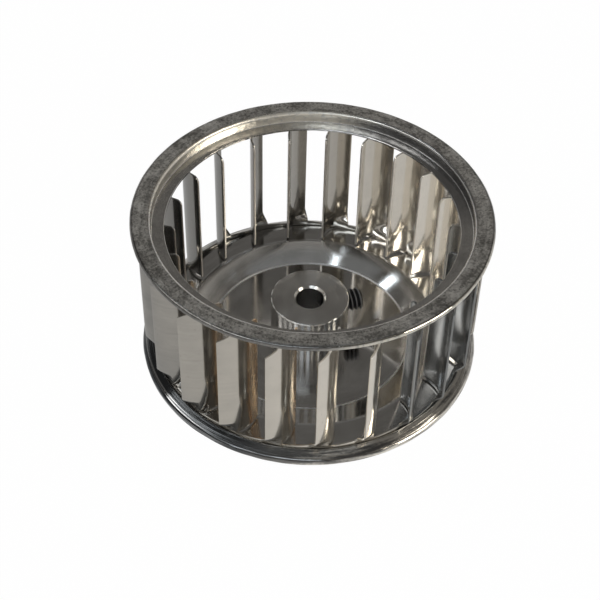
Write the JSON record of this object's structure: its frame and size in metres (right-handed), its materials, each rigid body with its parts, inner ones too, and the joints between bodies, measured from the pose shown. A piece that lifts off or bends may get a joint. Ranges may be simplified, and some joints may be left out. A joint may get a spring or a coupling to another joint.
{
  "type": "centrifugal blower wheel",
  "caption": "Single-inlet blower wheel with curved lanced blades, folded inlet ring, dished back plate and bored hub with a set screw.",
  "frame": {"origin": "on the wheel's axis at the underside of the back plate's rim", "axes": "+Z along the wheel's axis, from the back plate to the open inlet ring; +X to the right and +Y away in the picture"},
  "size_m": [0.0973, 0.0972, 0.0479],
  "materials": {
    "ring_sheet": "rolled sheet, tarnished and scuffed",
    "blade_sheet": "rolled sheet, fine mill grain",
    "plate_sheet": "pressed sheet, near polished",
    "hub_metal": "turned, satin",
    "black_steel": "black oxide"
  },
  "bodies": {
    "wheel": {"inlet_ring": "ring_sheet", "blade_strip": "blade_sheet", "back_plate": "plate_sheet", "hub": "hub_metal"},
    "set_screw": {"set_screw": "black_steel"}
  },
  "joints": [
    {"name": "set_screw_travel", "type": "slide", "parent": "wheel", "child": "set_screw", "axis": [0.9613, 0.2756, 0], "range_m": [-0.0038, 0.003]}
  ]
}
